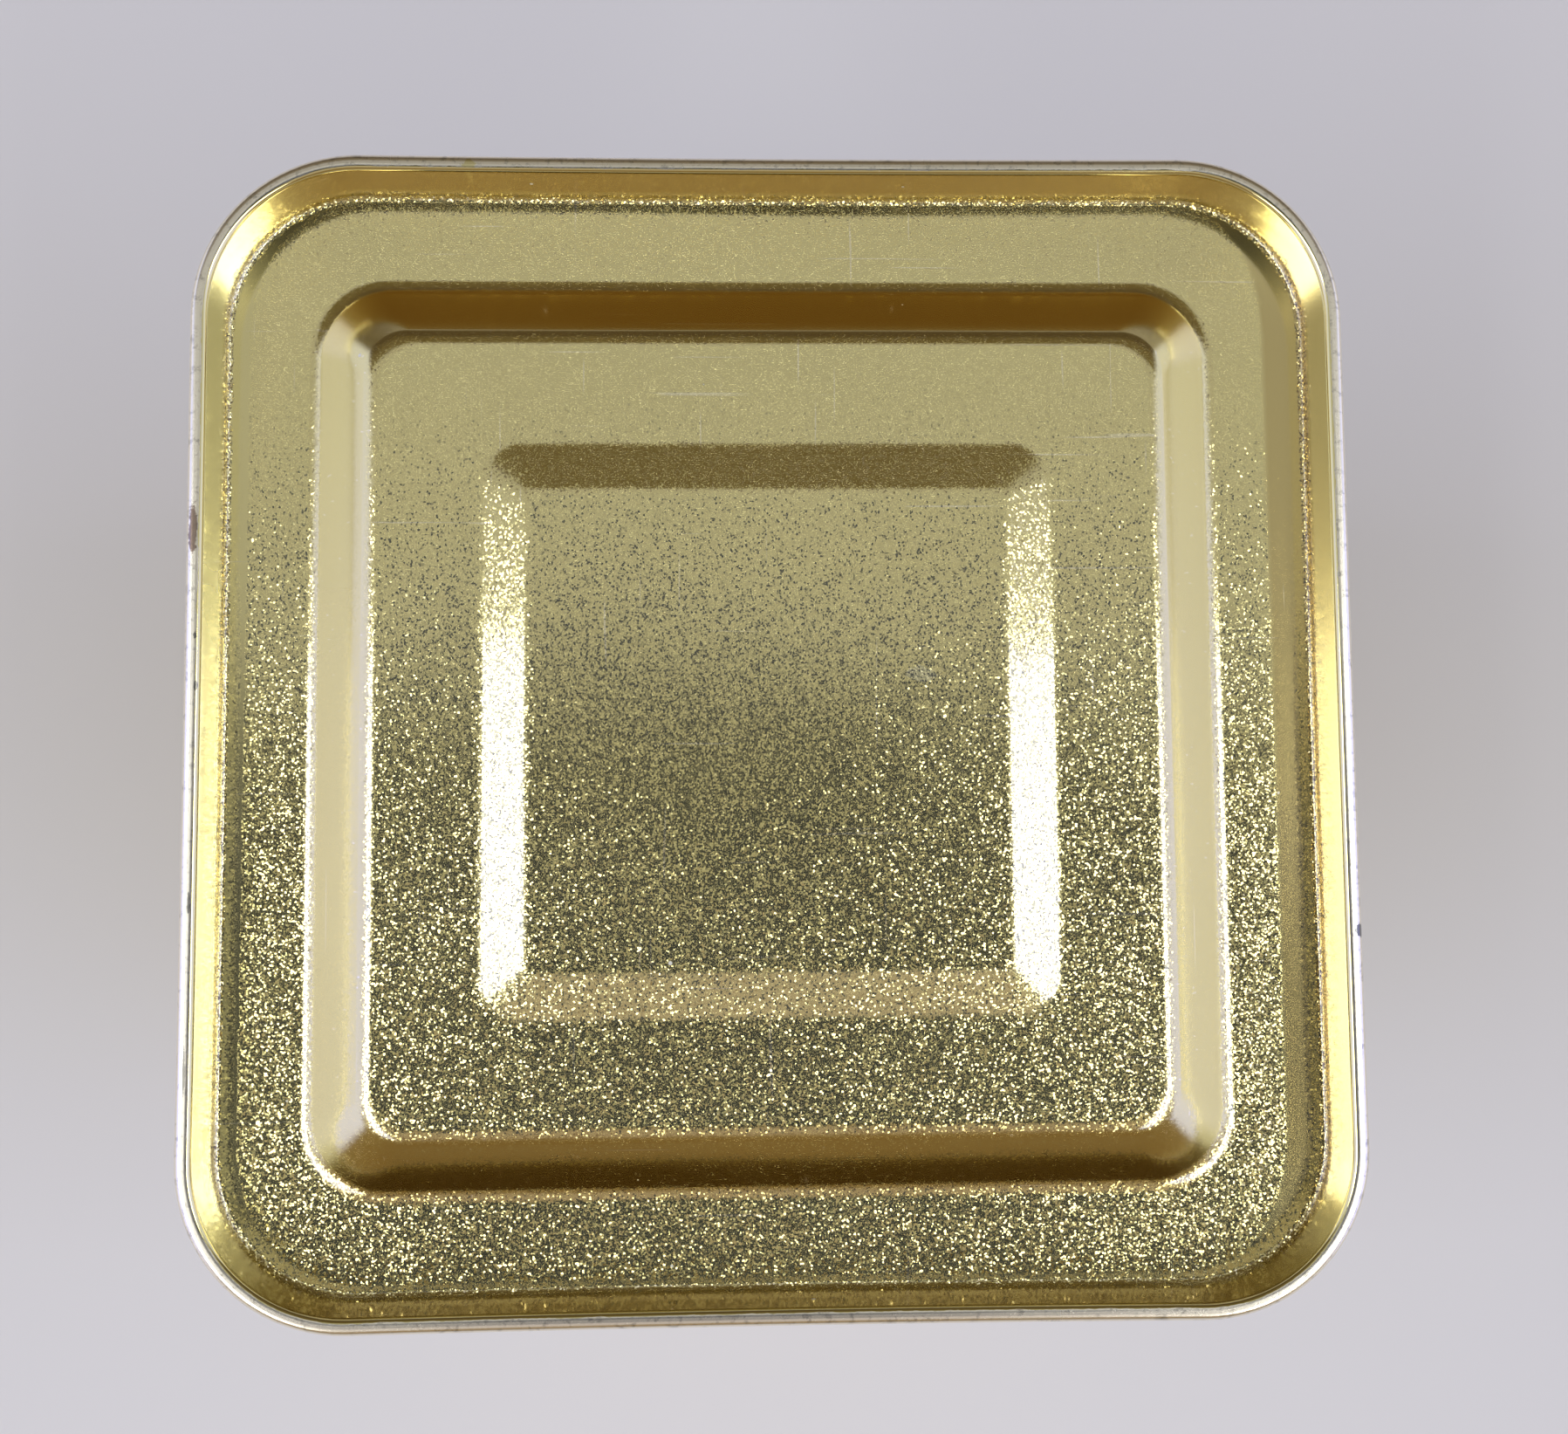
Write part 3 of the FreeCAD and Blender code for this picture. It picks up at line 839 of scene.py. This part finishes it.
shoulder_steps = np.linspace(-0.5, 0.5, 7) * LOCK_SHOULDER * 2
lock_places = np.array([-0.5, 0.5])[:, None] * LOCK_WIDE + shoulder_steps
lock_shares = -(LOCK_MIDDLE + lock_places.ravel()) / (BODY_HALF - BODY_CORNER)
BODY_PATTERN = stations(lock_shares)
body_corners = [
    (POLE_HALF, BODY_BORE_TOP), (BODY_BORE, BODY_BORE_TOP), (BODY_BORE, BODY_TOP),
    (BODY_HALF, BODY_TOP), (BODY_HALF, BODY_FOOT), (POLE_HALF, BODY_FOOT),
]
body_path = filleted_path(body_corners, [0, 0, 0.08, 0.08, 0.3, 0], 5, 3.0)
body_half, body_height = body_path[:, 0], body_path[:, 1]


def settle_body(grid):
    """Raises the lock seam on the back and lets the flat sides draw in by a tenth or two."""
    x, y, z = grid[..., 0], grid[..., 1], grid[..., 2]
    normal_x, normal_y = BODY_PATTERN[1].T
    outside = np.broadcast_to((body_half > BODY_HALF - 0.1)[:, None], x.shape)
    hollow = side_middle(x, y, BODY_PATTERN[1], BODY_HALF - BODY_CORNER)
    belly = np.sin(math.pi * ramp(z, LID_MOUTH, BODY_TOP)) ** 2
    ripple = BODY_RIPPLE * np.sin(z / 9.0 + 1.3 * x / 10.0) * np.cos(y / 12.0 - x / 17.0)
    push = outside * hollow * belly * (ripple - BODY_HOLLOW)
    edge = (LOCK_WIDE / 2 - np.abs(x - LOCK_MIDDLE)) / LOCK_SHOULDER
    fold = np.clip(edge + 0.5, 0.0, 1.0)
    fold = fold * fold * (3.0 - 2.0 * fold) * (normal_y > 0.99) * outside
    return np.stack([x + push * normal_x, y + (push + LOCK_PROUD * fold) * normal_y, z], -1)


body_corner = np.where(body_half > 12.0, BODY_CORNER, 0.0)
body_mesh, body_grid = closed_skin(
    "bent_body", BODY_PATTERN, body_half, body_corner, body_height, settle_body
)
body = add_object("bent_body", body_mesh)

# Lacquer is rubbed thin just above the lid's mouth, and on the lock seam's shoulders.
lid_rub = 0.30 * np.clip(1.0 - np.abs(body_grid[..., 2] - LID_MOUTH - 1.0) / 2.2, 0.0, 1.0)
from_shoulder = np.abs(np.abs(body_grid[..., 0] - LOCK_MIDDLE) - LOCK_WIDE / 2)
on_back = body_grid[..., 1] > BODY_HALF - 0.1
scuff = 0.42 * np.clip(1.0 - from_shoulder / LOCK_SHOULDER, 0.0, 1.0) * on_back
mark_points(body_mesh, "crown", np.maximum(lid_rub, scuff))


def wall_grain(tree, place):
    """A smooth rolled sheet keeps only a trace of grain."""
    return math_node(tree, "MULTIPLY_ADD", noise(tree, place, 120.0, 2.0, 0.5), 0.08, 0.05)


WALL_GOLD = (0.80, 0.64, 0.21)
WALL_TIN = (0.68, 0.65, 0.58)
body_mesh.materials.append(
    lacquered_tin("gold_wall_lacquer", WALL_GOLD, WALL_TIN, wall_grain, 0.15)
)

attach(body, "root")
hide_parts("tin_body")

# ========================================================================= lid
# The lid is a deep drawn cap of the same lacquered tinplate, and the tin stands on it.
# Its top panel stands a little proud of a flat rim, and its mouth is curled outwards
# into a fine bead that grips nothing: the lid holds by fit.

LID_BORE = 39.38
LID_SKIRT = 39.73
LID_BEAD = 39.96
LID_CORNER = 11.13
BEAD_TALL = 1.6
LID_EDGE_ROUND = 2.0
LID_FLOOR = 4.0
PANEL_FOOT = 34.23
PANEL_TOP = 32.63
PANEL_RISE = 0.8
PANEL_BEND = 1.2
PANEL_TOP_CORNER = 3.95
PANEL_FOOT_CORNER = 5.55
LID_HOLLOW = 0.10

LID_PATTERN = stations()
bead_foot = LID_MOUTH - BEAD_TALL
lid_corners = [
    (POLE_HALF, LID_FLOOR), (LID_BORE, LID_FLOOR), (LID_BORE, LID_MOUTH - 0.02),
    (LID_BEAD, LID_MOUTH), (LID_BEAD, bead_foot), (LID_SKIRT, bead_foot - 0.12),
    (LID_SKIRT, PANEL_RISE), (PANEL_FOOT, PANEL_RISE), (PANEL_TOP, 0.0), (POLE_HALF, 0.0),
]
lid_radii = [0, 0.3, 0.25, 0.30, 0.35, 0.30, LID_EDGE_ROUND, PANEL_BEND, PANEL_BEND, 0]
lid_path = filleted_path(lid_corners, lid_radii, 9, 1.5)
lid_half, lid_height = lid_path[:, 0], lid_path[:, 1]
lid_corner = np.interp(
    lid_half,
    [0.0, PANEL_TOP, PANEL_FOOT, LID_SKIRT],
    [0.0, PANEL_TOP_CORNER, PANEL_FOOT_CORNER, LID_CORNER],
)


def settle_lid(grid):
    """Lets the skirt's flat sides draw in by a tenth of a millimetre at mid-height."""
    x, y, z = grid[..., 0], grid[..., 1], grid[..., 2]
    normal_x, normal_y = LID_PATTERN[1].T
    outside = np.broadcast_to((lid_half > LID_SKIRT - 0.05)[:, None], x.shape)
    hollow = side_middle(x, y, LID_PATTERN[1], LID_SKIRT - LID_CORNER)
    belly = np.sin(math.pi * ramp(z, 0.0, LID_MOUTH - 2.0)) ** 2
    push = -LID_HOLLOW * outside * hollow * belly
    return np.stack([x + push * normal_x, y + push * normal_y, z], -1)


lid_mesh, _ = closed_skin("drawn_lid", LID_PATTERN, lid_half, lid_corner, lid_height, settle_lid)
lid = add_object("drawn_lid", lid_mesh)

# The bead and the edge that the tin stands on are rubbed to bare metal in places.
bead_rub = 0.38 * np.clip(1.0 - np.abs(lid_height - (LID_MOUTH - 0.5)) / 0.7, 0.0, 1.0)
bead_rub = np.where(lid_half > LID_BORE + 0.05, bead_rub, 0.0)
foot_rub = 0.42 * np.clip(1.0 - lid_height / 2.6, 0.0, 1.0) * ramp(lid_half, 31.0, 34.0)
rub = np.maximum(bead_rub, foot_rub)
mark_points(lid_mesh, "crown", np.repeat(rub, len(LID_PATTERN[1])))

LID_GOLD = (0.79, 0.635, 0.21)
lid_mesh.materials.append(
    lacquered_tin("gold_lid_lacquer", LID_GOLD, WALL_TIN, wall_grain, 0.15)
)

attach(lid, "root")
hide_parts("lid")
